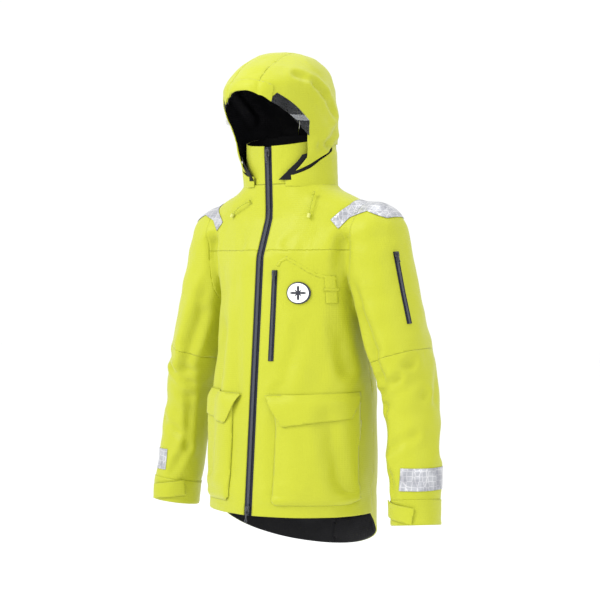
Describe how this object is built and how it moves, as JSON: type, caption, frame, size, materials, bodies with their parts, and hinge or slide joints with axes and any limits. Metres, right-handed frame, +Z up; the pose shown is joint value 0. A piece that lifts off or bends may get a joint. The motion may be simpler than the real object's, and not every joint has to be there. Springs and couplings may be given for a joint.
{
  "type": "foul weather jacket",
  "caption": "Hooded waterproof shell jacket with a two-way front zip, high face guard, clear hood windows, flap pockets, zip pockets and adjustable cuffs.",
  "frame": {"origin": "Centre line at the height of the side neck points, where the jacket hangs from a hanger or a neck", "axes": "+Z up, front faces -Y, +X is the wearer's left"},
  "size_m": [0.7354, 0.3411, 1.0663],
  "materials": {
    "yellow_shell": "coated woven laminate, fine weave",
    "reflective_tape": "silver retro-reflective with a lattice",
    "zip_black": "moulded coil on coated tape",
    "slider_metal": "black enamel",
    "clear_window": "flexible clear film",
    "black_lining": "smooth lining",
    "badge_print": "printed film",
    "cord_bead": "moulded end"
  },
  "bodies": {
    "shell": {"back_panel": "yellow_shell", "back_yoke": "yellow_shell", "chest_badge": "badge_print", "chest_pocket_bag": "black_lining", "chest_zip_chain": "zip_black", "chest_zip_tape": "zip_black", "collar_back": "yellow_shell", "cord_bead_left": "cord_bead", "cord_bead_right": "cord_bead", "cord_tunnels": "yellow_shell", "face_guard_left": "yellow_shell", "face_guard_right": "yellow_shell", "front_panel_left": "yellow_shell", "front_panel_right": "yellow_shell", "front_yoke_left": "yellow_shell", "front_yoke_right": "yellow_shell", "hand_pocket_left": "yellow_shell", "hand_pocket_right": "yellow_shell", "hanger_loop": "black_lining", "hem_facing": "black_lining", "inner_storm_flap": "black_lining", "main_zip_chain": "zip_black", "main_zip_tapes": "zip_black", "mic_tab": "yellow_shell", "neck_cord_left": "yellow_shell", "neck_cord_right": "yellow_shell", "shoulder_tapes": "reflective_tape", "sleeve_head_left": "yellow_shell", "sleeve_head_right": "yellow_shell"},
    "hood": {"hood_brim": "yellow_shell", "hood_crown": "yellow_shell", "hood_side_left": "yellow_shell", "hood_side_right": "yellow_shell", "hood_windows": "clear_window", "hood_tape": "reflective_tape", "brim_stiffener": "black_lining"},
    "upper_sleeve_left": {"sleeve_upper_left": "yellow_shell", "elbow_gusset_left": "yellow_shell", "sleeve_zip_tape": "zip_black", "sleeve_zip_chain": "zip_black"},
    "forearm_left": {"sleeve_lower_left": "yellow_shell", "cuff_left": "yellow_shell", "forearm_tape_left": "reflective_tape"},
    "cuff_tab_left": {"cuff_tab_left": "yellow_shell"},
    "pocket_flap_left": {"pocket_flap_left": "yellow_shell"},
    "upper_sleeve_right": {"sleeve_upper_right": "yellow_shell", "elbow_gusset_right": "yellow_shell"},
    "forearm_right": {"sleeve_lower_right": "yellow_shell", "cuff_right": "yellow_shell", "forearm_tape_right": "reflective_tape"},
    "cuff_tab_right": {"cuff_tab_right": "yellow_shell"},
    "pocket_flap_right": {"pocket_flap_right": "yellow_shell"},
    "top_slider": {"top_slider": "slider_metal"},
    "top_pull": {"top_pull": "slider_metal"},
    "bottom_slider": {"bottom_slider": "slider_metal"},
    "bottom_pull": {"bottom_pull": "slider_metal"},
    "chest_slider": {"chest_slider": "slider_metal"},
    "chest_pull": {"chest_pull": "slider_metal"},
    "sleeve_slider": {"sleeve_slider": "slider_metal"},
    "sleeve_pull": {"sleeve_pull": "slider_metal"}
  },
  "joints": [
    {"name": "shoulder_left", "type": "hinge", "parent": "shell", "child": "upper_sleeve_left", "pos_m": [0.205, 0, -0.11], "axis": [0, -1, 0], "range_deg": [0, 45], "deforming": ["sleeve_head_left"]},
    {"name": "elbow_left", "type": "hinge", "parent": "upper_sleeve_left", "child": "forearm_left", "pos_m": [0.287, 0.044, -0.42], "axis": [-0.9806, 0, -0.1961], "range_deg": [0, 60], "deforming": ["elbow_gusset_left"]},
    {"name": "cuff_tab_left_peel", "type": "hinge", "parent": "forearm_left", "child": "cuff_tab_left", "pos_m": [0.27125, -0.04489, -0.66282], "axis": [0.1036, 0, -0.9946], "range_deg": [0, 70]},
    {"name": "flap_left_lift", "type": "hinge", "parent": "shell", "child": "pocket_flap_left", "pos_m": [0.14783, -0.11512, -0.425], "axis": [-0.7594, -0.6506, 0], "range_deg": [0, 110]},
    {"name": "shoulder_right", "type": "hinge", "parent": "shell", "child": "upper_sleeve_right", "pos_m": [-0.205, 0, -0.11], "axis": [0, 1, 0], "range_deg": [0, 45], "deforming": ["sleeve_head_right"]},
    {"name": "elbow_right", "type": "hinge", "parent": "upper_sleeve_right", "child": "forearm_right", "pos_m": [-0.287, 0.044, -0.42], "axis": [-0.9806, 0, 0.1961], "range_deg": [0, 60], "deforming": ["elbow_gusset_right"]},
    {"name": "cuff_tab_right_peel", "type": "hinge", "parent": "forearm_right", "child": "cuff_tab_right", "pos_m": [-0.27125, -0.04489, -0.66282], "axis": [0.1036, 0, 0.9946], "range_deg": [0, 70]},
    {"name": "flap_right_lift", "type": "hinge", "parent": "shell", "child": "pocket_flap_right", "pos_m": [-0.14783, -0.11512, -0.425], "axis": [-0.7594, 0.6506, 0], "range_deg": [0, 110]},
    {"name": "hood_fold", "type": "hinge", "parent": "shell", "child": "hood", "pos_m": [0, 0.062, 0.101], "axis": [-1, 0, 0], "range_deg": [0, 110]},
    {"name": "top_slider_run", "type": "slide", "parent": "shell", "child": "top_slider", "axis": [0, 0.0408, -0.9992], "range_m": [0, 0.09]},
    {"name": "top_pull_swing", "type": "hinge", "parent": "top_slider", "child": "top_pull", "pos_m": [0, -0.10623, 0.08043], "axis": [-1, 0, 0], "range_deg": [0, 140]},
    {"name": "bottom_slider_run", "type": "slide", "parent": "shell", "child": "bottom_slider", "axis": [0, 0.0781, 0.9969], "range_m": [0, 0.48]},
    {"name": "bottom_pull_swing", "type": "hinge", "parent": "bottom_slider", "child": "bottom_pull", "pos_m": [0, -0.17495, -0.66618], "axis": [-1, 0, 0], "range_deg": [0, 140]},
    {"name": "chest_slider_run", "type": "slide", "parent": "shell", "child": "chest_slider", "axis": [0.0001, -0.0762, -0.9971], "range_m": [0, 0.174]},
    {"name": "chest_pull_swing", "type": "hinge", "parent": "chest_slider", "child": "chest_pull", "pos_m": [0.04014, -0.13509, -0.1717], "axis": [-0.9887, -0.1497, 0.0113], "range_deg": [0, 140]},
    {"name": "sleeve_slider_run", "type": "slide", "parent": "upper_sleeve_left", "child": "sleeve_slider", "axis": [0.2275, 0.0037, -0.9738], "range_m": [0, 0.1363]},
    {"name": "sleeve_pull_swing", "type": "hinge", "parent": "sleeve_slider", "child": "sleeve_pull", "pos_m": [0.27938, -0.03195, -0.1328], "axis": [-0.4048, -0.9092, -0.098], "range_deg": [0, 140]}
  ]
}
